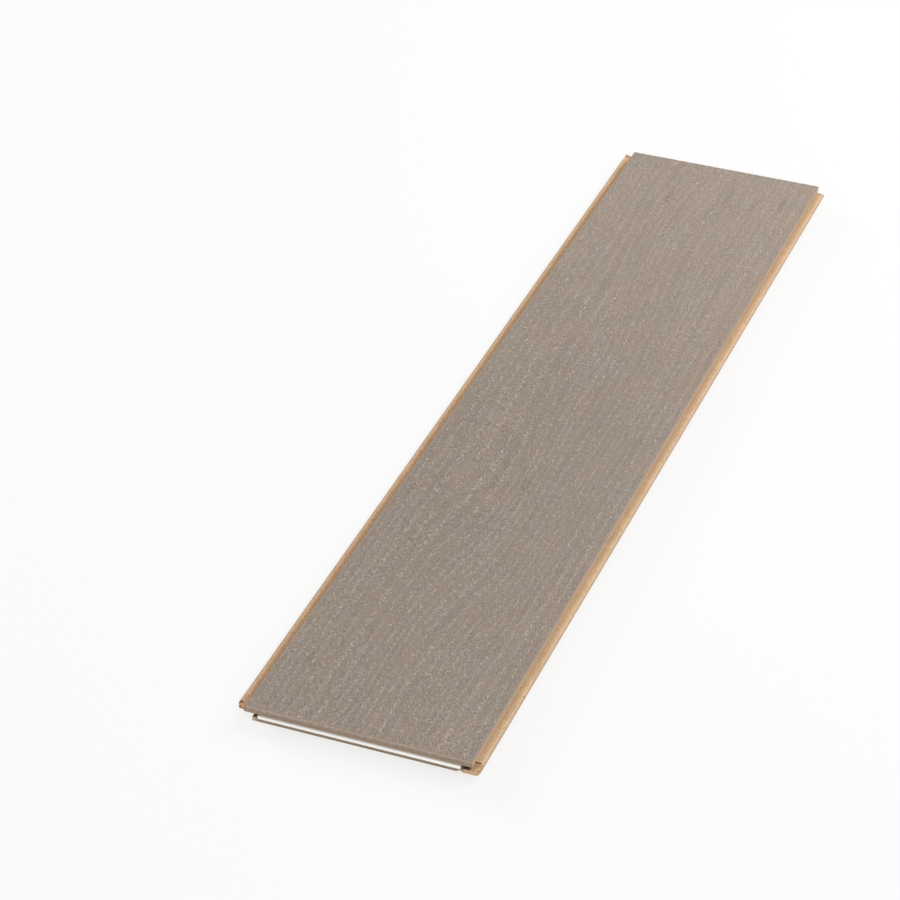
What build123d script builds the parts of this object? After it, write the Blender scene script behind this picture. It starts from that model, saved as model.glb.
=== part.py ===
"""A short click-joint floorboard: an oak face on a fibreboard core, with a plastic insert in its near end.

The board lies face up. X runs across it, Y along it and Z up, in millimetres. The origin is at the
bottom centre of the whole board, joints included.
"""
from build123d import *
import os

# The board, measured between the joint planes
FACE_WIDTH = 142.0
FACE_LENGTH = 710.0
BOARD_THICKNESS = 13.0
OAK_THICKNESS = 2.5
EDGE_BEVEL = 0.9

# Play left between any two milled faces that meet in a laid floor
JOINT_CLEARANCE = 0.1
# Room left behind a tongue or a strip, where dust can lie
END_ROOM = 0.5

# Long-edge joint: a tongue on the right, a groove and a locking strip on the left
TONGUE_DEPTH = 4.7
TONGUE_THICKNESS = 4.3
TONGUE_REACH = 4.6
TONGUE_TOP_RADIUS = 2.0
TONGUE_BOTTOM_RADIUS = 2.2
GROOVE_LEAD_IN = 1.0
GROOVE_ROOT_RADIUS = 0.8
STRIP_REACH = 8.8
STRIP_LOCK_RISE = 1.0
STRIP_LOCK_WIDTH = 1.9
STRIP_LOCK_RUN = 1.5
STRIP_CUT_BACK = 12.0

# Short-end joint: a hook with a plastic insert at the near end, a locking strip at the far end
SLOT_DEPTH = 3.7
SLOT_HEIGHT = 2.6
SLOT_REACH = 6.3
HOOK_DEPTH = 9.2
END_STRIP_REACH = 7.5
END_LOCK_RISE = 1.4
END_LOCK_WIDTH = 2.0
END_LOCK_RUN = 0.6

# Edges of both locking strips
LOCK_RADIUS = 0.5
STRIP_FOOT_BEVEL = 0.8

# Plastic insert in the near end's slot
INSERT_LENGTH = 128.0
INSERT_OFFSET = 8.4
INSERT_REACH = 1.6
INSERT_SNAP_BEVEL = 0.8
INSERT_EDGE_RADIUS = 0.3

# Joint planes, placed so that the whole board is centred on the origin
LEFT = (STRIP_REACH - TONGUE_REACH - FACE_WIDTH) / 2
RIGHT = LEFT + FACE_WIDTH
NEAR = (INSERT_REACH - END_STRIP_REACH - FACE_LENGTH) / 2
FAR = NEAR + FACE_LENGTH

# Heights above the floor
CORE_TOP = BOARD_THICKNESS - OAK_THICKNESS
TONGUE_TOP = BOARD_THICKNESS - TONGUE_DEPTH
TONGUE_BOTTOM = TONGUE_TOP - TONGUE_THICKNESS
GROOVE_TOP = TONGUE_TOP + JOINT_CLEARANCE
STRIP_TOP = TONGUE_BOTTOM - JOINT_CLEARANCE
STRIP_LOCK_TOP = STRIP_TOP + STRIP_LOCK_RISE
SLOT_TOP = BOARD_THICKNESS - SLOT_DEPTH
SLOT_BOTTOM = SLOT_TOP - SLOT_HEIGHT
HOOK_BOTTOM = BOARD_THICKNESS - HOOK_DEPTH
END_STRIP_TOP = HOOK_BOTTOM - JOINT_CLEARANCE
END_LOCK_TOP = END_STRIP_TOP + END_LOCK_RISE
INSERT_TOP = SLOT_TOP - JOINT_CLEARANCE

# Distances from a joint plane into the board
GROOVE_REACH = TONGUE_REACH + END_ROOM
STRIP_ROOM = STRIP_REACH + END_ROOM
CATCH_REACH = INSERT_REACH + END_ROOM


def corner(section: Sketch, across: float, height: float) -> Vertex:
    """Return the corner of a flat section that lies nearest to a point.

    Args:
        section: The section, drawn flat with the height as its second axis.
        across: Place of the point along the section.
        height: Height of the point above the floor.

    Returns:
        The nearest corner.
    """
    return section.vertices().sort_by_distance((across, height, 0))[0]


def strip_points(plane: float, out: int, reach: float, top: float, rise: float, width: float, run: float) -> list:
    """List the corners of a locking strip, from its channel round to its foot.

    Args:
        plane: Place of the joint plane along the section.
        out: Direction that leads out of the board, 1 or -1.
        reach: How far the strip stands out past the joint plane.
        top: Height of the strip's channel.
        rise: How far the lock stands above the channel.
        width: Width of the lock's flat top.
        run: Width that the lock's sloping face takes up.

    Returns:
        Corners as pairs of place and height.
    """
    lock_edge = reach - width
    return [
        (plane + out * (lock_edge - run), top),
        (plane + out * lock_edge, top + rise),
        (plane + out * reach, top + rise),
        (plane + out * reach, STRIP_FOOT_BEVEL),
        (plane + out * (reach - STRIP_FOOT_BEVEL), 0),
    ]


def pocket_points(plane: float, out: int, reach: float, top: float, rise: float, width: float, run: float) -> list:
    """List the corners of the pocket that a neighbour's locking strip fits into, from its root outwards.

    Args:
        plane: Place of the joint plane along the section.
        out: Direction that leads out of the board, 1 or -1.
        reach: How far the neighbour's strip comes in past the joint plane.
        top: Height of the underside that the strip's channel faces.
        rise: How far the neighbour's lock stands above its channel.
        width: Width of the lock's flat top.
        run: Width that the lock's sloping face takes up.

    Returns:
        Corners as pairs of place and height.
    """
    lock_edge = reach - width - JOINT_CLEARANCE
    room = reach + END_ROOM
    return [
        (plane - out * room, 0),
        (plane - out * room, top + rise),
        (plane - out * lock_edge, top + rise),
        (plane - out * (lock_edge - run), top),
    ]


def long_section() -> Sketch:
    """Draw the core's section across the board, with the long-edge joints."""
    lock = (STRIP_LOCK_RISE, STRIP_LOCK_WIDTH, STRIP_LOCK_RUN)
    outline = [
        (LEFT, CORE_TOP),
        (LEFT, GROOVE_TOP + GROOVE_LEAD_IN),
        (LEFT + GROOVE_LEAD_IN, GROOVE_TOP),
        (LEFT + GROOVE_REACH, GROOVE_TOP),
        (LEFT + GROOVE_REACH, STRIP_TOP),
        *strip_points(LEFT, -1, STRIP_REACH, STRIP_TOP, *lock),
        *pocket_points(RIGHT, 1, STRIP_REACH, TONGUE_BOTTOM, *lock),
        (RIGHT + TONGUE_REACH, TONGUE_BOTTOM),
        (RIGHT + TONGUE_REACH, TONGUE_TOP),
        (RIGHT, TONGUE_TOP),
        (RIGHT, CORE_TOP),
    ]
    section = make_face(Polyline(*outline, close=True))
    section = fillet(corner(section, RIGHT + TONGUE_REACH, TONGUE_TOP), TONGUE_TOP_RADIUS)
    section = fillet(corner(section, RIGHT + TONGUE_REACH, TONGUE_BOTTOM), TONGUE_BOTTOM_RADIUS)
    section = fillet(corner(section, LEFT + GROOVE_REACH, GROOVE_TOP), GROOVE_ROOT_RADIUS)
    section = fillet(corner(section, LEFT + GROOVE_REACH, STRIP_TOP), GROOVE_ROOT_RADIUS)
    return fillet(corner(section, LEFT - STRIP_REACH, STRIP_LOCK_TOP), LOCK_RADIUS)


def end_section() -> Sketch:
    """Draw the core's section along the board, with the short-end joints."""
    lock = (END_LOCK_RISE, END_LOCK_WIDTH, END_LOCK_RUN)
    outline = [
        (NEAR, CORE_TOP),
        (NEAR, SLOT_TOP),
        (NEAR + SLOT_REACH, SLOT_TOP),
        (NEAR + SLOT_REACH, SLOT_BOTTOM),
        (NEAR, SLOT_BOTTOM),
        (NEAR, HOOK_BOTTOM),
        *reversed(pocket_points(NEAR, -1, END_STRIP_REACH, HOOK_BOTTOM, *lock)),
        *reversed(strip_points(FAR, 1, END_STRIP_REACH, END_STRIP_TOP, *lock)),
        (FAR, END_STRIP_TOP),
        (FAR, SLOT_BOTTOM - JOINT_CLEARANCE),
        (FAR - CATCH_REACH, SLOT_BOTTOM - JOINT_CLEARANCE),
        (FAR - CATCH_REACH, SLOT_TOP),
        (FAR, SLOT_TOP),
        (FAR, CORE_TOP),
    ]
    section = make_face(Polyline(*outline, close=True))
    section = fillet(corner(section, NEAR, HOOK_BOTTOM), LOCK_RADIUS)
    return fillet(corner(section, FAR + END_STRIP_REACH, END_LOCK_TOP), LOCK_RADIUS)


def block(low: tuple, high: tuple) -> Part:
    """Make a plain block between two opposite corners."""
    size = [b - a for a, b in zip(low, high)]
    return Pos(*low) * Box(*size, align=Align.MIN)


def fibreboard_core() -> Part:
    """Mill the core: both pairs of edges are run through, then two corners of the strips are trimmed."""
    along = Plane((0, NEAR - INSERT_REACH, 0), x_dir=(1, 0, 0), z_dir=(0, -1, 0))
    across = Plane((LEFT - STRIP_REACH, 0, 0), x_dir=(0, 1, 0), z_dir=(1, 0, 0))
    whole_length = INSERT_REACH + FACE_LENGTH + END_STRIP_REACH
    whole_width = STRIP_REACH + FACE_WIDTH + TONGUE_REACH
    edges_run = extrude(along * long_section(), -whole_length)
    ends_run = extrude(across * end_section(), whole_width)
    near_trim = block(
        (LEFT - STRIP_REACH, NEAR, 0),
        (LEFT + GROOVE_REACH, NEAR + STRIP_CUT_BACK, STRIP_LOCK_TOP),
    )
    far_trim = block(
        (RIGHT - STRIP_ROOM, FAR, 0),
        (RIGHT + TONGUE_REACH, FAR + END_STRIP_REACH, TONGUE_TOP),
    )
    return (edges_run & ends_run) - near_trim - far_trim


def oak_face() -> Part:
    """Make the oak face, with the small bevel that runs round its upper edges."""
    face = block((LEFT, NEAR, CORE_TOP), (RIGHT, FAR, BOARD_THICKNESS))
    return chamfer(face.faces().sort_by(Axis.Z)[-1].edges(), EDGE_BEVEL)


def locking_insert() -> Part:
    """Make the plastic insert that lies in the near end's slot and snaps under the next board's edge."""
    outline = [
        (NEAR + SLOT_REACH - END_ROOM, SLOT_BOTTOM),
        (NEAR - INSERT_REACH + INSERT_SNAP_BEVEL, SLOT_BOTTOM),
        (NEAR - INSERT_REACH, SLOT_BOTTOM + INSERT_SNAP_BEVEL),
        (NEAR - INSERT_REACH, INSERT_TOP),
        (NEAR + SLOT_REACH - END_ROOM, INSERT_TOP),
    ]
    section = make_face(Polyline(*outline, close=True))
    section = fillet(corner(section, NEAR - INSERT_REACH, INSERT_TOP), INSERT_EDGE_RADIUS)
    across = Plane((LEFT + INSERT_OFFSET, 0, 0), x_dir=(0, 1, 0), z_dir=(1, 0, 0))
    return extrude(across * section, INSERT_LENGTH)


os.makedirs("parts", exist_ok=True)
export_step(oak_face(), "parts/oak_face.step")
export_step(fibreboard_core(), "parts/fibreboard_core.step")
export_step(locking_insert(), "parts/locking_insert.step")
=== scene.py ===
"""Dresses a click-joint floorboard: brushed oak face, fibreboard core, plastic insert, on a pale floor."""
import logging
import math
from dataclasses import dataclass, field
from enum import Enum, IntEnum
from typing import Callable, Optional, Union

import bmesh
import bpy
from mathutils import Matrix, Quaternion, Vector


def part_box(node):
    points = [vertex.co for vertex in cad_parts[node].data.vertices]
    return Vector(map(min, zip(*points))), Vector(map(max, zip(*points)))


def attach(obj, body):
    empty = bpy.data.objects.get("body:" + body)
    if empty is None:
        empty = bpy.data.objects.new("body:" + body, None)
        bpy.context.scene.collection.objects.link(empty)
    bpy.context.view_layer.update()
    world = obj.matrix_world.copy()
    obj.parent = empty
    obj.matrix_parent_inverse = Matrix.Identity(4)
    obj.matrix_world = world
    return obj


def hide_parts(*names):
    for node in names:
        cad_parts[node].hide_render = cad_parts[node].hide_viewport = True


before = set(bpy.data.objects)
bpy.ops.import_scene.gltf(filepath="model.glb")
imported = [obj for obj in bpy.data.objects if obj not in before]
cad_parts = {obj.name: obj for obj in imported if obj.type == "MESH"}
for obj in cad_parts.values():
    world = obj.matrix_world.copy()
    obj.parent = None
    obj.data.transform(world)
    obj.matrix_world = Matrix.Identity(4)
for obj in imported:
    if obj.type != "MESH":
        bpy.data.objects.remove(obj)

log = logging.getLogger("floorboard")

# Units and shared values
MM = 0.001
PER_METRE_IN_MM = 1000.0
TURN = math.tau
QUARTER_TURN = TURN / 4
HALF = 0.5
BOTH_SIDES = 2
UNIT = 1.0
FULL = 1.0
OPAQUE = 1.0
QUAD_CORNERS = 4
VIEW_AXIS = (0.0, 0.0, 1.0)

# Early wood's mean share of a ring, about which the face's tone and its dashes vary
EARLY_MEAN = 0.35

BODY = "root"

# A fade holds the value at which a smooth step is 0, then the value at which it is 1
Fade = tuple[float, float]
Colour = tuple[float, float, float]
Point = tuple[float, float, float]
ShaderNode = bpy.types.Node
Socket = bpy.types.NodeSocket


class Node(str, Enum):
    """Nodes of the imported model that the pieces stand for."""

    OAK = "oak_face"
    CORE = "fibreboard_core"
    INSERT = "locking_insert"


class Slot(str, Enum):
    """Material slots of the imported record."""

    OAK = "oak"
    FIBREBOARD = "fibreboard"
    PLASTIC = "white_plastic"


class Blend(str, Enum):
    """Ways to mix two colours, by Blender's names."""

    MIX = "MIX"
    MULTIPLY = "MULTIPLY"


class Element(str, Enum):
    """Kinds of mesh element to pick, by Blender's names."""

    EDGE = "EDGE"
    FACE = "FACE"


class Value:
    """A number that varies over a surface, held by a shader socket and combined with Python's operators."""

    def __init__(self, graph: "Graph", socket: Socket) -> None:
        """Keep the socket and the graph that new nodes go into."""
        self.graph = graph
        self.socket = socket

    def __add__(self, other: "Number") -> "Value":
        """Return self + other."""
        return self.graph.math("ADD", self, other)

    def __radd__(self, other: "Number") -> "Value":
        """Return other + self."""
        return self.graph.math("ADD", other, self)

    def __sub__(self, other: "Number") -> "Value":
        """Return self - other."""
        return self.graph.math("SUBTRACT", self, other)

    def __rsub__(self, other: "Number") -> "Value":
        """Return other - self."""
        return self.graph.math("SUBTRACT", other, self)

    def __mul__(self, other: "Number") -> "Value":
        """Return self * other."""
        return self.graph.math("MULTIPLY", self, other)

    def __rmul__(self, other: "Number") -> "Value":
        """Return other * self."""
        return self.graph.math("MULTIPLY", other, self)

    def __truediv__(self, other: "Number") -> "Value":
        """Return self / other."""
        return self.graph.math("DIVIDE", self, other)

    def __pow__(self, other: "Number") -> "Value":
        """Return self to the power of other."""
        return self.graph.math("POWER", self, other)

    def __lt__(self, other: "Number") -> "Value":
        """Return 1 where self is under other, and 0 elsewhere."""
        return self.graph.math("LESS_THAN", self, other)

    def __gt__(self, other: "Number") -> "Value":
        """Return 1 where self is over other, and 0 elsewhere."""
        return self.graph.math("GREATER_THAN", self, other)

    def cosine(self) -> "Value":
        """Return the cosine of self, an angle in radians."""
        return self.graph.math("COSINE", self)

    def ramp(self, low: float, high: float) -> "Value":
        """Return a smooth step that is 0 at low and 1 at high, where high may be the smaller."""
        return self.graph.smooth_step(self, low, high)


Number = Union[float, Value]
Input = Union[float, tuple, Value, Socket]
Place = tuple[Value, Value, Value]


def cosine(angle: Number) -> Number:
    """Return the cosine of an angle in radians, for a plain number or a shader value."""
    return angle.cosine() if isinstance(angle, Value) else math.cos(angle)


class Graph:
    """Node tree of one material, with a principled shader at its end."""

    def __init__(self, name: str) -> None:
        """Make an empty material whose output takes a principled shader.

        Args:
            name: Name of the material.
        """
        self.material = bpy.data.materials.new(name)
        self.material.use_nodes = True
        self.tree = self.material.node_tree
        self.tree.nodes.clear()
        self.shader = self.node("ShaderNodeBsdfPrincipled")
        self.output = self.node("ShaderNodeOutputMaterial")
        self.tree.links.new(self.shader.outputs[0], self.output.inputs["Surface"])

    def node(self, kind: str, settings: Optional[dict] = None, inputs: Optional[dict] = None) -> ShaderNode:
        """Add a node, set it up and feed its sockets.

        Args:
            kind: Blender's name of the node type.
            settings: Values of the node's own properties, set before its sockets.
            inputs: Value or link for each socket, by the socket's name or number.

        Returns:
            The new node.
        """
        made = self.tree.nodes.new(kind)
        for key, value in (settings or {}).items():
            setattr(made, key, value)
        for key, value in (inputs or {}).items():
            self.feed(made.inputs[key], value)
        return made

    def feed(self, socket: Socket, value: Input) -> None:
        """Link a value to a socket, or set the socket where the value is plain.

        Args:
            socket: Socket to feed.
            value: A shader value, another socket, a number, a vector or a colour.
        """
        if isinstance(value, Value):
            self.tree.links.new(value.socket, socket)
        elif isinstance(value, Socket):
            self.tree.links.new(value, socket)
        elif isinstance(value, tuple) and socket.type == "RGBA":
            socket.default_value = (*value, OPAQUE)
        else:
            socket.default_value = value

    def math(self, operation: str, first: Number, second: Number = 0.0) -> Value:
        """Combine one or two numbers by a Math node."""
        made = self.node("ShaderNodeMath", {"operation": operation}, {0: first, 1: second})
        return Value(self, made.outputs[0])

    def smooth_step(self, value: Value, low: float, high: float) -> Value:
        """Return a smooth step of a value.

        Args:
            value: Value to step.
            low: Where the step is 0.
            high: Where the step is 1, which may be under low.

        Returns:
            The step.
        """
        flip = low > high
        settings = {"interpolation_type": "SMOOTHSTEP"}
        ends = {"From Min": min(low, high), "From Max": max(low, high)}
        made = self.node("ShaderNodeMapRange", settings, {"Value": value, **ends})
        step = Value(self, made.outputs["Result"])
        return FULL - step if flip else step

    def place_mm(self) -> Place:
        """Read the place on the piece, in millimetres.

        Returns:
            Place along X, Y and Z.
        """
        place = self.node("ShaderNodeTexCoord").outputs["Object"]
        inputs = {0: place, "Scale": PER_METRE_IN_MM}
        scaled = self.node("ShaderNodeVectorMath", {"operation": "SCALE"}, inputs)
        parts = self.node("ShaderNodeSeparateXYZ", inputs={0: scaled.outputs[0]})
        return tuple(Value(self, parts.outputs[axis]) for axis in ("X", "Y", "Z"))

    def vector(self, x: Number, y: Number, z: Number) -> Socket:
        """Join three numbers into a vector."""
        return self.node("ShaderNodeCombineXYZ", inputs={0: x, 1: y, 2: z}).outputs[0]

    def noise(self, place: Socket, detail: float) -> Value:
        """Return smooth noise, about 0.5 on average, with features about one unit across.

        Args:
            place: Place in the noise, already scaled to the size of its features.
            detail: Number of finer octaves.

        Returns:
            The noise.
        """
        inputs = {"Vector": place, "Scale": UNIT, "Detail": detail}
        made = self.node("ShaderNodeTexNoise", {"noise_dimensions": "3D"}, inputs)
        return Value(self, made.outputs[0])

    def cells(self, place: Socket) -> tuple[Value, Value]:
        """Scatter points about one unit apart.

        Args:
            place: Place among the points, already scaled to the distance between them.

        Returns:
            Distance to the nearest point, and a random number of its own.
        """
        made = self.node("ShaderNodeTexVoronoi", {"feature": "F1"}, {"Vector": place, "Scale": UNIT})
        parts = self.node("ShaderNodeSeparateColor", inputs={0: made.outputs["Color"]})
        return Value(self, made.outputs["Distance"]), Value(self, parts.outputs[0])

    def mix(self, first: Input, second: Input, share: Number, blend: Blend = Blend.MIX) -> Socket:
        """Mix two colours.

        Args:
            first: Colour at a share of 0.
            second: Colour at a share of 1.
            share: Share of the second colour.
            blend: Way to mix.

        Returns:
            Socket of the mixed colour.
        """
        settings = {"data_type": "RGBA", "blend_type": blend.value, "clamp_factor": True}
        made = self.node("ShaderNodeMix", settings, {0: share})
        first_socket, second_socket = (socket for socket in made.inputs if socket.type == "RGBA")
        self.feed(first_socket, first)
        self.feed(second_socket, second)
        return next(socket for socket in made.outputs if socket.type == "RGBA")

    def bump(self, height_mm: Value) -> Socket:
        """Return a surface normal that follows a height in millimetres."""
        made = self.node("ShaderNodeBump", inputs={"Height": height_mm, "Strength": FULL, "Distance": MM})
        return made.outputs[0]

    def dress(self, inputs: dict) -> bpy.types.Material:
        """Feed the shader's sockets.

        Args:
            inputs: Value or link for each socket, by the socket's name.

        Returns:
            The material.
        """
        for name, value in inputs.items():
            self.feed(self.shader.inputs[name], value)
        return self.material


@dataclass(frozen=True)
class GrainFlow:
    """Course of the oak's growth rings over the face, in millimetres, shared by the mesh and its finish."""

    left: float
    near: float
    width: float
    bow: float = 17.0
    bow_length: float = 620.0
    drift: float = 3.0
    drift_length: float = 240.0
    ring: float = 5.9
    uneven: float = 0.34
    uneven_span: float = 47.0
    sharpness: float = 2.2

    def across(self, x: Number, y: Number) -> Number:
        """Return the place across the rings, which bow towards the tongue edge half way along.

        Args:
            x: Place across the board.
            y: Place along the board.

        Returns:
            Place across the rings.
        """
        middle = HALF - HALF * cosine((x - self.left) * (TURN / self.width))
        bowed = HALF - HALF * cosine((y - self.near) * (TURN / self.bow_length))
        drifted = cosine((y - self.near) * (TURN / self.drift_length) + x * (TURN / self.width))
        return x - middle * (self.bow * bowed + self.drift * drifted)

    def early_wood(self, across: Number) -> Number:
        """Return how open the wood is, from 0 in the dense late wood to 1 in the porous early wood."""
        phase = across * (TURN / self.ring) + self.uneven * TURN * cosine(across * (TURN / self.uneven_span))
        return (HALF + HALF * cosine(phase)) ** self.sharpness


@dataclass(frozen=True)
class Mark:
    """A dark mark: its middle and half its size, in millimetres right, forward and up from a corner."""

    middle: Point
    half_size: Point
    strength: float

    def over(self, place: Place, corner: Point) -> Value:
        """Return the mark's strength over a surface.

        Args:
            place: Place across, along and up the board.
            corner: Place that the mark is measured from.

        Returns:
            The strength, which fades out from the mark's middle.
        """
        across, along, up = (
            (here - start - middle) / half
            for here, start, middle, half in zip(place, corner, self.middle, self.half_size)
        )
        return (across * across + along * along + up * up).ramp(FULL, 0.0) * self.strength


@dataclass(frozen=True)
class Streaks:
    """Soft noise drawn out along the grain, with its width and length in millimetres and its strength."""

    width: float
    length: float
    strength: float
    detail: float = 2.0

    def over(self, g: Graph, place: Place) -> Value:
        """Return the noise over a surface, about 0 on average.

        Args:
            g: Graph to add the nodes to.
            place: Place across the grain, along it and up.

        Returns:
            The noise times its strength.
        """
        across, along, up = place
        cell = g.vector(across / self.width, along / self.length, up / self.width)
        return (g.noise(cell, self.detail) - HALF) * self.strength


@dataclass(frozen=True)
class Dashes:
    """Short dashes along the grain, cut out of drawn-out noise, with their width and length in mm.

    The level is that of the noise at which a dash starts to show, and it drops by rings in the early wood
    and by crowding where the dashes lie thickly. The share is the strength of a whole dash.
    """

    width: float
    length: float
    level: float
    softness: float
    rings: float
    crowding: float
    share: float
    detail: float = 1.0
    offset: float = 0.0

    def over(self, g: Graph, place: Place, early: Value, crowd: Value) -> Value:
        """Return the strength of the dashes over a surface.

        Args:
            g: Graph to add the nodes to.
            place: Place across the grain, along it and up.
            early: How open the wood is.
            crowd: How thickly the dashes lie in each part of the face, about 0 on average.

        Returns:
            The strength, from 0 to the share.
        """
        across, along, up = place
        cell = g.vector(across / self.width, along / self.length, up / self.width + self.offset)
        shown = g.noise(cell, self.detail) + self.rings * (early - EARLY_MEAN) + self.crowding * crowd
        return shown.ramp(self.level, self.level + self.softness) * self.share


@dataclass(frozen=True)
class BrushedOak:
    """Finish of the face: grey-brown oak, brushed along the grain, with white pigment left in its pores.

    Painted light makes it a little lighter towards its far end; it is also a little lighter towards its
    tongue edge, and warmer along its groove edge.
    """

    flow: GrainFlow
    length: float
    top: float
    warm: Colour = (0.302, 0.226, 0.171)
    cool: Colour = (0.266, 0.223, 0.184)
    dark: Colour = (0.110, 0.083, 0.064)
    mark: Colour = (0.150, 0.098, 0.062)
    rim: Colour = (0.41, 0.293, 0.18)
    pigment: Colour = (0.66, 0.62, 0.56)
    wobble: Streaks = Streaks(width=12.0, length=90.0, strength=2.4)
    hue: Streaks = Streaks(width=5.0, length=32.0, strength=2.2)
    patches: Streaks = Streaks(width=24.0, length=50.0, strength=0.8)
    lines: Streaks = Streaks(width=0.40, length=22.0, strength=0.36)
    streaks: Streaks = Streaks(width=2.6, length=70.0, strength=0.14)
    bands: Streaks = Streaks(width=8.0, length=140.0, strength=0.16, detail=1.0)
    crowds: Streaks = Streaks(width=14.0, length=50.0, strength=1.0)
    fibres: Streaks = Streaks(width=0.45, length=3.2, strength=1.0)
    pores: Dashes = Dashes(
        width=0.40, length=2.4, level=0.54, softness=0.14, rings=0.05, crowding=0.10, share=0.58
    )
    coarse: Dashes = Dashes(
        width=0.42, length=2.3, level=0.60, softness=0.13, rings=0.06, crowding=0.12, share=0.64, offset=31.0
    )
    fine: Dashes = Dashes(
        width=0.32, length=1.8, level=0.58, softness=0.12, rings=0.03, crowding=0.06, share=0.36, offset=67.0
    )
    thinning: float = 0.16
    patch_tone: float = 0.07
    ring_tone: float = 0.045
    # Painted light: the face is lifted lighter towards its far end, as if lit more there
    far_light_lift: float = 0.18
    far_light_start: float = 0.38
    side_lift: float = 0.045
    side_start: float = 0.5
    mark_fade: Fade = (0.25, -0.15)
    rim_fade: Fade = (2.3, 1.1)
    rim_share: float = 0.38
    marks: tuple[Mark, ...] = (
        Mark((75.0, 272.0, 0.0), (3.0, 11.0, 2.0), 0.60),
        Mark((17.0, 55.0, 0.0), (2.6, 12.0, 2.0), 0.42),
        Mark((8.0, 240.0, 0.0), (2.2, 12.0, 2.0), 0.42),
        Mark((120.0, 146.0, 0.0), (2.6, 13.0, 2.0), 0.36),
        Mark((45.0, 655.0, 0.0), (2.4, 14.0, 2.0), 0.48),
        Mark((85.0, 670.0, 0.0), (2.6, 16.0, 2.0), 0.50),
        Mark((106.0, 665.0, 0.0), (2.2, 14.0, 2.0), 0.34),
        Mark((125.0, 675.0, 0.0), (2.4, 15.0, 2.0), 0.45),
    )
    roughness: float = 0.59
    roughness_swing: float = 0.14
    fibre_relief: float = 0.05
    pore_relief: float = 0.04
    ring_relief: float = 0.03

    def material(self) -> bpy.types.Material:
        """Make the material.

        Returns:
            The material.
        """
        g = Graph("brushed_oak")
        board = g.place_mm()
        x, y, z = board
        across = self.flow.across(x, y) + self.wobble.over(g, board)
        grain = (across, y, z)
        early = self.flow.early_wood(across)
        along = (y - self.flow.near) / self.length
        crowd = self.crowds.over(g, board) - self.thinning * (along - HALF)
        fibre = self.fibres.over(g, grain)
        coarse = self.coarse.over(g, grain, early, crowd)
        patch = self.patches.over(g, board)
        colour = g.mix(self.warm, self.cool, HALF + self.hue.over(g, grain) + patch)
        tone = self.grain_tone(g, grain, early) * self.board_tone(x, along, patch)
        colour = g.mix(colour, tone, FULL, Blend.MULTIPLY)
        for spot in self.marks:
            strength = spot.over(board, (self.flow.left, self.flow.near, self.top))
            colour = g.mix(colour, self.mark, strength * fibre.ramp(*self.mark_fade))
        colour = g.mix(colour, self.dark, self.pores.over(g, grain, early, crowd))
        colour = g.mix(colour, self.pigment, self.fine.over(g, grain, early, crowd))
        colour = g.mix(colour, self.pigment, coarse)
        colour = g.mix(colour, self.rim, (x - self.flow.left).ramp(*self.rim_fade) * self.rim_share)
        height = fibre * self.fibre_relief - coarse * self.pore_relief - early * self.ring_relief
        roughness = self.roughness + self.roughness_swing * fibre
        return g.dress({"Base Color": colour, "Roughness": roughness, "Normal": g.bump(height)})

    def grain_tone(self, g: Graph, grain: Place, early: Value) -> Value:
        """Return how light the wood is along its fine lines, streaks, bands and rings.

        Args:
            g: Graph to add the nodes to.
            grain: Place across the grain, along it and up.
            early: How open the wood is.

        Returns:
            The tone, about 1 on average.
        """
        tone = FULL + self.ring_tone * (early - EARLY_MEAN)
        for layer in (self.lines, self.streaks, self.bands):
            tone = tone * (FULL + layer.over(g, grain))
        return tone

    def board_tone(self, x: Value, along: Value, patch: Value) -> Value:
        """Return how light each part of the board is, with painted light lifting it towards the far end.

        Args:
            x: Place across the board, in millimetres.
            along: Place along the face, from 0 at its near end to 1 at its far end.
            patch: Soft patches over the face, about 0 on average.

        Returns:
            The tone, about 1 at the near end of the groove edge.
        """
        side = (x - self.flow.left) / self.flow.width
        # Painted light towards the far end
        far_light = FULL + self.far_light_lift * along.ramp(self.far_light_start, FULL)
        lighter_side = FULL + self.side_lift * side.ramp(self.side_start, FULL)
        return far_light * lighter_side * (FULL + self.patch_tone * patch)


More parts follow.
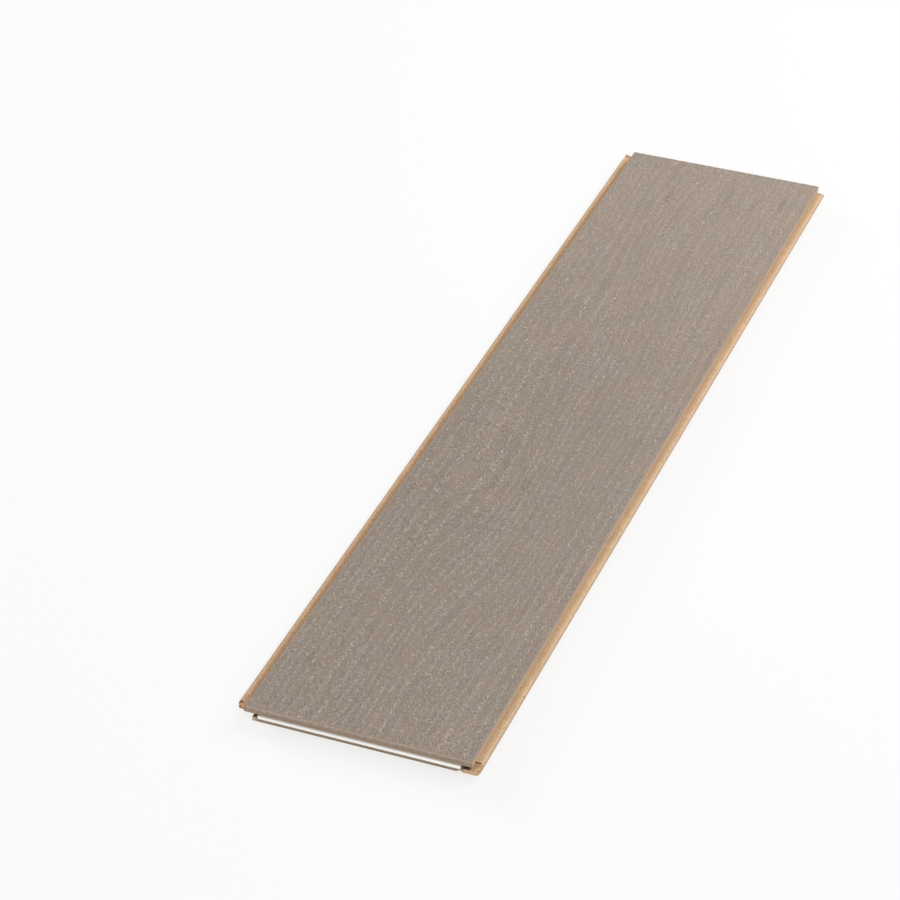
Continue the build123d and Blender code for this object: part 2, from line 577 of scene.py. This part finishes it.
@dataclass(frozen=True)
class OakEdge:
    """Finish of the oak's cut sides and bevel: the same wood without the pigment.

    It is palest where its rim is worn, and darker along the groove edge, where shade is painted in. The
    tone of the face runs over the upper part of the bevel along the tongue edge.
    """

    flow: GrainFlow
    top: float
    name: str
    light: Colour
    dark: Colour
    worn: Colour = (0.53, 0.44, 0.355)
    groove_edge_shade: Colour = (0.275, 0.180, 0.108)
    face: Colour = (0.285, 0.228, 0.182)
    fibres: Streaks = Streaks(width=0.5, length=6.0, strength=1.2, detail=3.0)
    wear: Streaks = Streaks(width=4.0, length=9.0, strength=1.0, detail=3.0)
    fibre_fade: Fade = (0.15, -0.20)
    rim_fade: Fade = (0.42, 0.12)
    wear_fade: Fade = (-0.05, 0.22)
    groove_shade_fade: Fade = (1.1, 0.7)
    groove_shade_share: float = 0.85
    face_edge: Fade = (1.5, 1.0)
    face_fade: Fade = (0.68, 0.30)
    face_share: float = 0.76
    ring_share: float = 0.5
    roughness: float = 0.66
    specular: float = 0.22
    relief: float = 0.04

    def material(self) -> bpy.types.Material:
        """Make the material.

        Returns:
            The material.
        """
        g = Graph(self.name)
        x, y, z = g.place_mm()
        across = self.flow.across(x, y)
        fibre = self.fibres.over(g, (across, y, z))
        colour = g.mix(self.light, self.dark, fibre.ramp(*self.fibre_fade))
        colour = g.mix(colour, self.dark, self.flow.early_wood(across) * self.ring_share)
        rim = (self.top - z).ramp(*self.rim_fade) * self.wear.over(g, (x, y, z)).ramp(*self.wear_fade)
        colour = g.mix(colour, self.worn, rim)
        # Painted shade: the groove edge is darkened as if it faced away from the light
        inward = x - self.flow.left
        colour = g.mix(colour, self.groove_edge_shade, inward.ramp(*self.groove_shade_fade) * self.groove_shade_share)
        upper = (self.flow.width - inward).ramp(*self.face_edge) * (self.top - z).ramp(*self.face_fade)
        colour = g.mix(colour, self.face, upper * self.face_share)
        finish = {"Base Color": colour, "Normal": g.bump(fibre * self.relief)}
        return g.dress({**finish, "Roughness": self.roughness, "Specular IOR Level": self.specular})


@dataclass(frozen=True)
class Specks:
    """Small dark bits scattered in the fibreboard, with the size in millimetres of the cell of each."""

    width: float = 1.3
    length: float = 2.6
    fade: Fade = (0.40, 0.16)
    filled: float = 0.22
    share: float = 0.5

    def over(self, g: Graph, place: Place) -> Value:
        """Return the strength of the bits over a surface.

        Args:
            g: Graph to add the nodes to.
            place: Place across, along and up the board.

        Returns:
            The strength, from 0 to the share.
        """
        x, y, z = place
        distance, lot = g.cells(g.vector(x / self.width, y / self.length, z / self.width))
        return distance.ramp(*self.fade) * (lot < self.filled) * self.share


@dataclass(frozen=True)
class Band:
    """A band of painted light, darker or lighter, along a strip or tongue, placed in millimetres out from
    the joint plane.
    """

    middle: float
    half_width: float
    colour: Colour
    share: float

    def over(self, out: Value) -> Value:
        """Return the band's strength, from the distance out from the joint plane."""
        offset = (out - self.middle) / self.half_width
        return (offset * offset).ramp(FULL, 0.0) * self.share


@dataclass(frozen=True)
class MilledFibreboard:
    """Finish of the core: pressed wood fibre, paler out along its joints where light is painted on the
    tongue and ledge, with painted shade in its groove, slot, slit and lip foot, and its near lip browned.

    The joint planes, the slot's heights and what is measured from them are in millimetres.
    """

    left: float
    right: float
    near: float
    slot_low: float
    slot_high: float
    pale: Colour = (0.66, 0.455, 0.285)
    ledge_highlight: Colour = (0.72, 0.465, 0.270)
    dense: Colour = (0.535, 0.370, 0.226)
    shade: Colour = (0.32, 0.178, 0.092)
    amber: Colour = (0.56, 0.32, 0.16)
    # Painted shade for the inside of the slot and the slit
    slot_shade: Colour = (0.075, 0.038, 0.019)
    lip: Colour = (0.32, 0.228, 0.158)
    lip_foot_shade: Colour = (0.165, 0.120, 0.088)
    paint: Colour = (0.31, 0.235, 0.175)
    speck: Colour = (0.25, 0.145, 0.07)
    chip: Colour = (0.045, 0.024, 0.013)
    fibres: Streaks = Streaks(width=0.7, length=1.8, strength=0.9, detail=4.0)
    mottle: Streaks = Streaks(width=1.9, length=4.4, strength=0.6)
    clouds: Streaks = Streaks(width=6.0, length=16.0, strength=0.28, detail=3.0)
    cutter: Streaks = Streaks(width=0.5, length=2.4, strength=0.7)
    specks: Specks = Specks()
    amber_fade: Fade = (0.02, 0.16)
    amber_share: float = 0.38
    # Painted light on the tongue and on the strip's outer ledge, painted shade in the groove's inner channel
    tongue_light_fade: Fade = (0.2, 3.4)
    ledge_highlight_fade: Fade = (2.5, 5.9)
    ledge_highlight_share: float = 0.95
    # Painted shade on the lock's slope, a painted highlight on its top, painted shade on its outer edge
    strip_light_bands: tuple[Band, ...] = (
        Band(6.0, 0.8, (0.32, 0.178, 0.092), 0.10),
        Band(7.0, 0.8, (0.80, 0.56, 0.36), 0.65),
        Band(8.2, 0.9, (0.48, 0.41, 0.315), 0.70),
    )
    # Painted shade along the tongue's rounded underside
    tongue_shade_bands: tuple[Band, ...] = (Band(4.75, 0.6, (0.42, 0.31, 0.21), 0.80),)
    groove_share: float = 0.62
    front_skin: float = 0.25
    lip_ends: tuple[Fade, Fade] = ((6.0, 10.0), (4.0, 8.0))
    lip_shade_fade: Fade = (-1.6, -2.4)
    slot_reach: float = 7.0
    slot_room: float = 0.3
    slot_shade_share: float = 0.95
    slot_mouth: Fade = (0.8, 2.4)
    slit_start: float = 5.9
    slit_rise: float = 1.2
    slit_end: float = 3.0
    corner_share: float = 0.70
    corner_fade: Fade = (-0.10, 0.12)
    roughness: float = 0.86
    specular: float = 0.22
    relief: float = 0.10
    strip_end: Mark = Mark((-4.5, 12.0, 2.0), (7.0, 0.6, 5.0), 0.75)
    chips: tuple[Mark, ...] = (
        Mark((-7.2, 12.6, 4.9), (2.6, 1.2, 1.0), 0.82),
        Mark((-8.7, 12.0, 3.7), (0.7, 0.9, 0.7), 0.75),
        Mark((-8.6, 12.0, 1.3), (1.5, 1.5, 1.2), 1.0),
        Mark((145.9, 73.7, 6.0), (0.9, 1.6, 3.0), 0.75),
        Mark((145.5, 1.2, 6.6), (0.8, 1.0, 0.9), 0.55),
        Mark((144.9, 0.1, 5.3), (0.9, 0.9, 0.7), 0.60),
    )

    def material(self) -> bpy.types.Material:
        """Make the material.

        Returns:
            The material.
        """
        g = Graph("milled_fibreboard")
        place = g.place_mm()
        x = place[0]
        fibre, mottle = self.fibres.over(g, place), self.mottle.over(g, place)
        outside = x < self.left
        # Painted shade in the groove's inner channel, painted light on the strip's ledge and out on the
        # tongue
        ledge_highlight = (self.left - x).ramp(*self.ledge_highlight_fade)
        colour = g.mix(self.dense, self.pale, (x - self.right).ramp(*self.tongue_light_fade))
        colour = g.mix(colour, self.shade, outside * (FULL - ledge_highlight) * self.groove_share)
        colour = g.mix(colour, self.ledge_highlight, outside * ledge_highlight * self.ledge_highlight_share)
        for band in self.strip_light_bands:
            colour = g.mix(colour, band.colour, band.over(self.left - x))
        for band in self.tongue_shade_bands:
            colour = g.mix(colour, band.colour, band.over(x - self.right))
        colour = g.mix(colour, self.amber, mottle.ramp(*self.amber_fade) * self.amber_share)
        tone = FULL + fibre + self.clouds.over(g, place) + outside * self.cutter.over(g, place)
        colour = g.mix(colour, tone, FULL, Blend.MULTIPLY)
        colour = g.mix(colour, self.speck, self.specks.over(g, place))
        colour = self.brown_and_shade_near_end(g, colour, place)
        corner = (self.left, self.near, 0.0)
        colour = g.mix(colour, self.amber, self.strip_end.over(place, corner))
        for chip in self.chips:
            colour = g.mix(colour, self.chip, chip.over(place, corner))
        finish = {"Base Color": colour, "Normal": g.bump(fibre * self.relief)}
        return g.dress({**finish, "Roughness": self.roughness, "Specular IOR Level": self.specular})

    def brown_and_shade_near_end(self, g: Graph, colour: Input, place: Place) -> Input:
        """Brown the lips and the tongue's corner at the near end, and paint shade into the slot, the slit
        and the foot of the lower lip.

        Args:
            g: Graph to add the nodes to.
            colour: Colour of the core so far.
            place: Place across, along and up the board.

        Returns:
            Colour of the core with its near end browned and painted shade in its slot, slit and lip foot.
        """
        x, y, z = place
        front = y < self.near + self.front_skin
        left_end, right_end = self.lip_ends
        inner = (x - self.left).ramp(*left_end) * (self.right - x).ramp(*right_end)
        depth = (FULL - front) * (y < self.near + self.slot_reach)
        slot = depth * (z > self.slot_low - self.slot_room) * (z < self.slot_high + self.slot_room)
        slit = slot * (y > self.near + self.slit_start) * (z > self.slot_low + self.slit_rise)
        corner = (y < self.near + self.slit_start) * (x > self.right - self.slot_room)
        # Painted shade: the lower lip darkens towards its foot, under the insert
        lip = g.mix(self.lip, self.lip_foot_shade, (z - self.slot_low).ramp(*self.lip_shade_fade))
        rough = self.mottle.over(g, place).ramp(*self.corner_fade)
        colour = g.mix(colour, self.amber, corner * rough * self.corner_share)
        colour = g.mix(colour, lip, front * (z < self.slot_low) * inner)
        colour = g.mix(colour, self.paint, front * (z > self.slot_high))
        # Painted shade in the slot and in the slit behind the tongue's corner
        colour = g.mix(colour, self.slot_shade, slot * (self.right - x).ramp(*self.slot_mouth) * self.slot_shade_share)
        return g.mix(colour, self.slot_shade, slit * (x < self.right + self.slit_end) * self.slot_shade_share)


@dataclass(frozen=True)
class WhitePlastic:
    """Finish of the insert: white moulding, greyed by painted shade where it lies back in its slot, and
    darkened by painted shade at its ends.
    """

    front: float
    left: float
    right: float
    base: Colour = (0.94, 0.925, 0.895)
    dull: Colour = (0.82, 0.80, 0.77)
    grey: Colour = (0.66, 0.60, 0.54)
    end_shade: Colour = (0.16, 0.095, 0.055)
    mottle: Streaks = Streaks(width=3.0, length=2.0, strength=1.0, detail=3.0)
    grain: Streaks = Streaks(width=0.4, length=0.25, strength=1.0)
    dull_fade: Fade = (0.05, 0.30)
    dull_share: float = 0.5
    recess_shade_fade: Fade = (0.25, 1.0)
    end_shade_fade: Fade = (1.3, 0.6)
    roughness: float = 0.40
    roughness_swing: float = 0.10
    relief: float = 0.012

    def material(self) -> bpy.types.Material:
        """Make the material.

        Returns:
            The material.
        """
        g = Graph("white_plastic")
        place = g.place_mm()
        x, y, _ = place
        mottle = self.mottle.over(g, place)
        colour = g.mix(self.base, self.dull, mottle.ramp(*self.dull_fade) * self.dull_share)
        # Painted shade where the insert lies back under the lip in its slot
        colour = g.mix(colour, self.grey, (y - self.front).ramp(*self.recess_shade_fade))
        # Painted shade: the insert's ends darken like the shaded slot beyond them
        for inward in (x - self.left, self.right - x):
            colour = g.mix(colour, self.end_shade, inward.ramp(*self.end_shade_fade))
        normal = g.bump(self.grain.over(g, place) * self.relief)
        roughness = self.roughness + mottle * self.roughness_swing
        return g.dress({"Base Color": colour, "Roughness": roughness, "Normal": normal})


@dataclass(frozen=True)
class PaleFloor:
    """Finish of the floor: matt white, which the camera and reflections see with a pale shadow."""

    base: Colour = (0.94, 0.94, 0.94)
    white: Colour = (0.985, 0.985, 0.985)
    white_share: float = 0.76
    roughness: float = 1.0
    specular: float = 0.0

    def material(self) -> bpy.types.Material:
        """Make the material.

        Returns:
            The material.
        """
        g = Graph("pale_floor")
        g.dress({"Base Color": self.base, "Roughness": self.roughness, "Specular IOR Level": self.specular})
        white = g.node("ShaderNodeEmission", inputs={"Color": self.white, "Strength": FULL})
        path = g.node("ShaderNodeLightPath")
        mirrored = g.math("MAXIMUM", path.outputs["Is Glossy Ray"], path.outputs["Is Transmission Ray"])
        seen = g.math("MAXIMUM", path.outputs["Is Camera Ray"], mirrored)
        inputs = {0: seen * self.white_share, 1: g.shader.outputs[0], 2: white.outputs[0]}
        mixed = g.node("ShaderNodeMixShader", inputs=inputs)
        g.tree.links.new(mixed.outputs[0], g.output.inputs["Surface"])
        return g.material


class Bench:
    """Hand tools for modelling one mesh at a time."""

    @staticmethod
    def clear() -> None:
        """Leave nothing selected."""
        bpy.ops.object.select_all(action="DESELECT")

    @staticmethod
    def take(piece: bpy.types.Object) -> None:
        """Make a piece the only one selected, and the active one.

        Args:
            piece: Piece to work on.
        """
        Bench.clear()
        piece.select_set(True)
        bpy.context.view_layer.objects.active = piece

    @staticmethod
    def pick(piece: bpy.types.Object, kind: Element, wanted: Callable) -> int:
        """Select the edges or faces of a piece in edit mode that a test accepts.

        Args:
            piece: Piece in edit mode.
            kind: Kind of element to select.
            wanted: Test of one element.

        Returns:
            Number of elements selected.
        """
        bpy.ops.mesh.select_mode(type=kind.value)
        bpy.ops.mesh.select_all(action="DESELECT")
        mesh = bmesh.from_edit_mesh(piece.data)
        elements = {Element.EDGE: mesh.edges, Element.FACE: mesh.faces}[kind]
        picked = [element for element in elements if wanted(element)]
        for element in picked:
            element.select_set(True)
        mesh.select_flush_mode()
        bmesh.update_edit_mesh(piece.data)
        return len(picked)

    @staticmethod
    def finish(piece: bpy.types.Object, node: Node, slot: Slot) -> None:
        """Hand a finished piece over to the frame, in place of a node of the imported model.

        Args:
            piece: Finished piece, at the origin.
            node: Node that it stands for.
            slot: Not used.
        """
        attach(piece, BODY)
        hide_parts(node.value)


class OakPart(IntEnum):
    """Parts of the oak face that have a finish of their own, by the number of their material."""

    FACE = 0
    BEVEL = 1
    SIDE = 2
    END = 3


@dataclass(frozen=True)
class Tones:
    """Two tones of one wood: that of its late wood, and that of its pores and early wood."""

    light: Colour
    dark: Colour


@dataclass
class OakFace:
    """The oak face: a fine sheet of faces whose early wood is brushed hollow, with a bevel and cut sides."""

    low: Vector
    high: Vector
    bevel: float = 0.9 * MM
    relief: float = 0.11 * MM
    columns: int = 236
    rows: int = 170
    smooth_angle: float = 20.0
    level_rise: float = 0.9
    bevel_rise: float = 0.3
    end_facing: float = 0.5
    bevel_tones: Tones = Tones((0.455, 0.352, 0.272), (0.345, 0.262, 0.198))
    side_tones: Tones = Tones((0.565, 0.437, 0.335), (0.44, 0.33, 0.245))
    end_tones: Tones = Tones((0.35, 0.27, 0.205), (0.25, 0.188, 0.14))
    piece: bpy.types.Object = field(init=False)
    flow: GrainFlow = field(init=False)
    centre: Vector = field(init=False)
    span: Vector = field(init=False)

    def __post_init__(self) -> None:
        """Work out the face's middle, its size and the course of its grain."""
        self.centre = (self.low + self.high) * HALF
        self.span = self.high - self.low
        self.flow = GrainFlow(self.low.x / MM, self.low.y / MM, self.span.x / MM)

    def build(self) -> None:
        """Model the face, its bevel and its sides."""
        self.add_sheet()
        self.add_sides()
        self.brush()

    def flat_size(self) -> tuple[float, float]:
        """Return the width and the length of the face inside its bevel."""
        return self.span.x - BOTH_SIDES * self.bevel, self.span.y - BOTH_SIDES * self.bevel

    def add_sheet(self) -> None:
        """Lay a grid of faces over the flat part of the face."""
        Bench.clear()
        place = (self.centre.x, self.centre.y, self.high.z)
        bpy.ops.mesh.primitive_grid_add(
            x_subdivisions=self.columns, y_subdivisions=self.rows, size=UNIT, location=place
        )
        self.piece = bpy.context.object
        self.piece.name = "oak_surface"
        self.piece.scale = (*self.flat_size(), UNIT)
        bpy.ops.object.transform_apply(location=True, rotation=True, scale=True)

    def add_sides(self) -> None:
        """Extrude the grid's border into the bevel and the sides, and close the back."""
        flat_width, flat_length = self.flat_size()
        wider = (self.span.x / flat_width, self.span.y / flat_length, UNIT)
        bpy.ops.object.mode_set(mode="EDIT")
        Bench.pick(self.piece, Element.EDGE, lambda edge: edge.is_boundary)
        bpy.ops.mesh.extrude_region_move()
        bpy.ops.transform.resize(value=wider, center_override=self.centre)
        bpy.ops.transform.translate(value=(0.0, 0.0, -self.bevel))
        bpy.ops.mesh.extrude_region_move()
        bpy.ops.transform.translate(value=(0.0, 0.0, self.bevel - self.span.z))
        bpy.ops.mesh.edge_face_add()
        bpy.ops.mesh.select_all(action="SELECT")
        bpy.ops.mesh.normals_make_consistent(inside=False)
        bpy.ops.object.mode_set(mode="OBJECT")

    def brush(self) -> None:
        """Hollow the early wood of the face, as a wire brush does."""
        group = self.piece.vertex_groups.new(name="early_wood")
        level = self.high.z - self.bevel * HALF
        for vertex in self.piece.data.vertices:
            if vertex.co.z > level:
                across = self.flow.across(vertex.co.x / MM, vertex.co.y / MM)
                group.add([vertex.index], self.flow.early_wood(across), "REPLACE")
        Bench.take(self.piece)
        hollow = self.piece.modifiers.new("brushed_hollows", "DISPLACE")
        hollow.direction = "Z"
        hollow.mid_level = 0.0
        hollow.strength = -self.relief
        hollow.vertex_group = group.name
        bpy.ops.object.modifier_apply(modifier=hollow.name)
        bpy.ops.object.shade_smooth_by_angle(angle=math.radians(self.smooth_angle))

    def dress(self) -> None:
        """Give the face, the bevel, the long sides and the end grain their finishes."""
        finishes = {
            OakPart.FACE: BrushedOak(self.flow, self.span.y / MM, self.high.z / MM),
            OakPart.BEVEL: self.edge("oak_bevel", self.bevel_tones),
            OakPart.SIDE: self.edge("oak_side", self.side_tones),
            OakPart.END: self.edge("oak_end_grain", self.end_tones),
        }
        for part in OakPart:
            self.piece.data.materials.append(finishes[part].material())
        for face in self.piece.data.polygons:
            face.material_index = self.part_of(face.normal)
        Bench.finish(self.piece, Node.OAK, Slot.OAK)

    def edge(self, name: str, tones: Tones) -> OakEdge:
        """Return the finish of one of the face's edges, by its name and its tones."""
        return OakEdge(self.flow, self.high.z / MM, name, tones.light, tones.dark)

    def part_of(self, normal: Vector) -> OakPart:
        """Find the part that a face belongs to, by the way that it points.

        Args:
            normal: Direction that the face points in.

        Returns:
            The part.
        """
        if normal.z > self.level_rise:
            return OakPart.FACE
        if normal.z > self.bevel_rise:
            return OakPart.BEVEL
        return OakPart.END if abs(normal.y) > self.end_facing else OakPart.SIDE


@dataclass
class MilledCore:
    """The fibreboard core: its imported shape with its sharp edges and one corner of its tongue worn."""

    wear: float = 0.15 * MM
    wear_steps: int = 2
    free_length: float = 0.6 * MM
    weld: float = 0.005 * MM
    flat_angle: float = 1.0
    sharp_angle: float = 35.0
    corner_radius: float = 3.2 * MM
    corner_flats: int = 5
    piece: bpy.types.Object = field(init=False)

    def build(self) -> None:
        """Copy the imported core, join its flat faces, and wear its corner and its edges."""
        self.copy_packed()
        bpy.ops.object.mode_set(mode="EDIT")
        self.join_flats()
        self.wear_corner()
        self.wear_edges()
        bpy.ops.object.mode_set(mode="OBJECT")
        bpy.ops.object.shade_smooth_by_angle(angle=math.radians(self.sharp_angle))

    def copy_packed(self) -> None:
        """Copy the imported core, with its place in its mesh."""
        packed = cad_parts[Node.CORE.value]
        self.piece = bpy.data.objects.new("milled_core", packed.data.copy())
        bpy.context.scene.collection.objects.link(self.piece)
        self.piece.matrix_world = packed.matrix_world
        Bench.take(self.piece)
        bpy.ops.object.transform_apply(location=True, rotation=True, scale=True)

    def join_flats(self) -> None:
        """Weld the copy's loose triangles, and join those that lie in one plane."""
        bpy.ops.mesh.select_all(action="SELECT")
        bpy.ops.mesh.remove_doubles(threshold=self.weld)
        bpy.ops.mesh.dissolve_limited(angle_limit=math.radians(self.flat_angle))
        bpy.ops.mesh.customdata_custom_splitnormals_clear()

    def wear_corner(self) -> None:
        """Round the near corner of the tongue, which wears first, by flats cut along an arc."""
        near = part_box(Node.OAK.value)[0].y
        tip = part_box(Node.CORE.value)[1].x
        centre = Vector((tip - self.corner_radius, near + self.corner_radius, 0.0))
        for flat in range(1, self.corner_flats + 1):
            turn = QUARTER_TURN * flat / (self.corner_flats + 1)
            outward = Vector((math.sin(turn), -math.cos(turn), 0.0))
            place = centre + outward * self.corner_radius
            bpy.ops.mesh.select_all(action="SELECT")
            bpy.ops.mesh.bisect(plane_co=place, plane_no=outward, use_fill=True, clear_outer=True)

    def wear_edges(self) -> None:
        """Round the sharp edges that meet no small facet, then split the many-sided faces."""
        sharp = math.radians(self.sharp_angle)

        def stands_free(edge: bmesh.types.BMEdge) -> bool:
            """Tell whether an edge is sharp, points outwards and meets no short edge."""
            met = [other.calc_length() for vertex in edge.verts for other in vertex.link_edges]
            return edge.calc_face_angle_signed(0.0) > sharp and min(met) > self.free_length

        count = Bench.pick(self.piece, Element.EDGE, stands_free)
        bpy.ops.mesh.bevel(
            offset=self.wear, segments=self.wear_steps, offset_type="OFFSET", clamp_overlap=True
        )
        log.info("%s: %d edges worn", self.piece.name, count)
        Bench.pick(self.piece, Element.FACE, lambda face: len(face.verts) > QUAD_CORNERS)
        bpy.ops.mesh.quads_convert_to_tris(quad_method="BEAUTY", ngon_method="BEAUTY")

    def dress(self) -> None:
        """Give the core its finish."""
        low, high = (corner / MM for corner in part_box(Node.OAK.value))
        slot_low, slot_high = (corner.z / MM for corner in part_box(Node.INSERT.value))
        self.piece.data.materials.clear()
        finish = MilledFibreboard(low.x, high.x, low.y, slot_low, slot_high)
        self.piece.data.materials.append(finish.material())
        Bench.finish(self.piece, Node.CORE, Slot.FIBREBOARD)


@dataclass
class LockingInsert:
    """The plastic insert: a flat bar with a sloping underside at its front and rounded edges."""

    low: Vector
    high: Vector
    snap: float = 0.8 * MM
    snap_steps: int = 1
    nose: float = 0.3 * MM
    nose_steps: int = 3
    soften: float = 0.12 * MM
    soften_steps: int = 2
    smooth_angle: float = 30.0
    near_enough: float = 0.1 * MM
    piece: bpy.types.Object = field(init=False)

    def build(self) -> None:
        """Model the insert from a block."""
        Bench.clear()
        bpy.ops.mesh.primitive_cube_add(size=UNIT, location=(self.low + self.high) * HALF)
        self.piece = bpy.context.object
        self.piece.name = "white_insert"
        self.piece.scale = self.high - self.low
        bpy.ops.object.transform_apply(location=True, rotation=True, scale=True)
        bpy.ops.object.mode_set(mode="EDIT")
        self.cut_edge(self.low.z, self.snap, self.snap_steps)
        self.cut_edge(self.high.z, self.nose, self.nose_steps)
        bpy.ops.object.mode_set(mode="OBJECT")
        soft = self.piece.modifiers.new("soft_edges", "BEVEL")
        soft.width = self.soften
        soft.segments = self.soften_steps
        soft.limit_method = "ANGLE"
        bpy.ops.object.modifier_apply(modifier=soft.name)
        bpy.ops.object.shade_smooth_by_angle(angle=math.radians(self.smooth_angle))

    def cut_edge(self, height: float, width: float, steps: int) -> None:
        """Bevel the front edge at one height.

        Args:
            height: Height of the edge.
            width: Width that the bevel takes off each face.
            steps: Number of faces in the bevel.
        """
        def at_front(vertex: bmesh.types.BMVert) -> bool:
            """Tell whether a vertex lies on the front at the wanted height."""
            apart = max(abs(vertex.co.y - self.low.y), abs(vertex.co.z - height))
            return apart < self.near_enough

        Bench.pick(self.piece, Element.EDGE, lambda edge: all(at_front(vertex) for vertex in edge.verts))
        bpy.ops.mesh.bevel(offset=width, segments=steps, offset_type="OFFSET")

    def dress(self) -> None:
        """Give the insert its finish."""
        finish = WhitePlastic(self.low.y / MM, self.low.x / MM, self.high.x / MM)
        self.piece.data.materials.append(finish.material())
        Bench.finish(self.piece, Node.INSERT, Slot.PLASTIC)


@dataclass(frozen=True)
class FarLamp:
    """A lamp so far off that its light is even, with its angles in degrees.

    The azimuth is where the light comes from, 0 from the near end and 90 from the tongue edge. The level is
    the share of the floor's light that the lamp gives, and the softness is the angle that it covers.
    """

    name: str
    azimuth: float
    elevation: float
    level: float
    softness: float

    def add(self) -> None:
        """Add the lamp to the scene."""
        turn, rise = math.radians(self.azimuth), math.radians(self.elevation)
        level_part = math.cos(rise)
        towards = Vector((math.sin(turn) * level_part, -math.cos(turn) * level_part, math.sin(rise)))
        bpy.ops.object.light_add(type="SUN")
        lamp = bpy.context.object
        lamp.name = self.name
        lamp.data.energy = self.level * math.pi / math.sin(rise)
        lamp.data.angle = math.radians(self.softness)
        lamp.rotation_mode = "QUATERNION"
        lamp.rotation_quaternion = towards.to_track_quat("Z", "Y")


@dataclass
class Studio:
    """A pale floor, soft light from all round, a key lamp, two far lamps and the camera."""

    floor_size: float = 12.0
    sky: float = 0.43
    sky_colour: Colour = (1.0, 1.0, 1.0)
    far_lamps: tuple[FarLamp, ...] = (
        FarLamp("front_lamp", azimuth=30.0, elevation=32.0, level=0.235, softness=40.0),
        FarLamp("low_lamp", azimuth=240.0, elevation=16.0, level=0.11, softness=12.0),
    )
    key_place: Vector = field(default_factory=lambda: Vector((1.0, 0.95, 1.35)))
    key_size: float = 1.2
    key_power: float = 15.75
    camera_place: Vector = field(default_factory=lambda: Vector((0.5963, -1.7509, 1.2345)))
    camera_target: Vector = field(default_factory=lambda: Vector((-0.0533, -0.0671, 0.013)))
    camera_roll: float = 0.183
    lens: float = 135.02

    def build(self) -> None:
        """Set up the floor, the lights and the camera."""
        self.add_floor()
        self.add_sky()
        self.add_key()
        for lamp in self.far_lamps:
            lamp.add()
        self.add_camera()

    def add_floor(self) -> None:
        """Lay the floor under the board."""
        Bench.clear()
        bpy.ops.mesh.primitive_plane_add(size=self.floor_size)
        floor = bpy.context.object
        floor.name = "floor"
        floor.data.materials.append(PaleFloor().material())

    def add_sky(self) -> None:
        """Light the scene evenly from all round."""
        world = bpy.data.worlds.new("studio")
        world.use_nodes = True
        light = world.node_tree.nodes["Background"].inputs
        light["Color"].default_value = (*self.sky_colour, OPAQUE)
        light["Strength"].default_value = self.sky
        bpy.context.scene.world = world

    def add_key(self) -> None:
        """Add the key lamp, over the far right corner, so that the light falls off towards the near end."""
        bpy.ops.object.light_add(type="AREA", location=self.key_place)
        lamp = bpy.context.object
        lamp.name = "key_lamp"
        lamp.data.size = self.key_size
        lamp.data.energy = self.key_power
        lamp.rotation_mode = "QUATERNION"
        lamp.rotation_quaternion = self.key_place.to_track_quat("Z", "Y")

    def add_camera(self) -> None:
        """Set the camera at the photograph's viewing angle."""
        bpy.ops.object.camera_add(location=self.camera_place)
        camera = bpy.context.object
        camera.name = "camera"
        camera.data.lens = self.lens
        look = (self.camera_target - self.camera_place).to_track_quat("-Z", "Y")
        camera.rotation_mode = "QUATERNION"
        camera.rotation_quaternion = look @ Quaternion(VIEW_AXIS, math.radians(self.camera_roll))
        bpy.context.scene.camera = camera


def main() -> None:
    """Build the pieces, the studio and the camera in order."""
    logging.basicConfig(level=logging.INFO, format="%(message)s")
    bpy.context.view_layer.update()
    face = OakFace(*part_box(Node.OAK.value))
    core = MilledCore()
    insert = LockingInsert(*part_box(Node.INSERT.value))
    for part in (face, core, insert):
        part.build()
        part.dress()
        log.info("%s: %d faces", part.piece.name, len(part.piece.data.polygons))
    Studio().build()
    bpy.context.scene.view_settings.view_transform = "Standard"


if __name__ == "__main__":
    main()
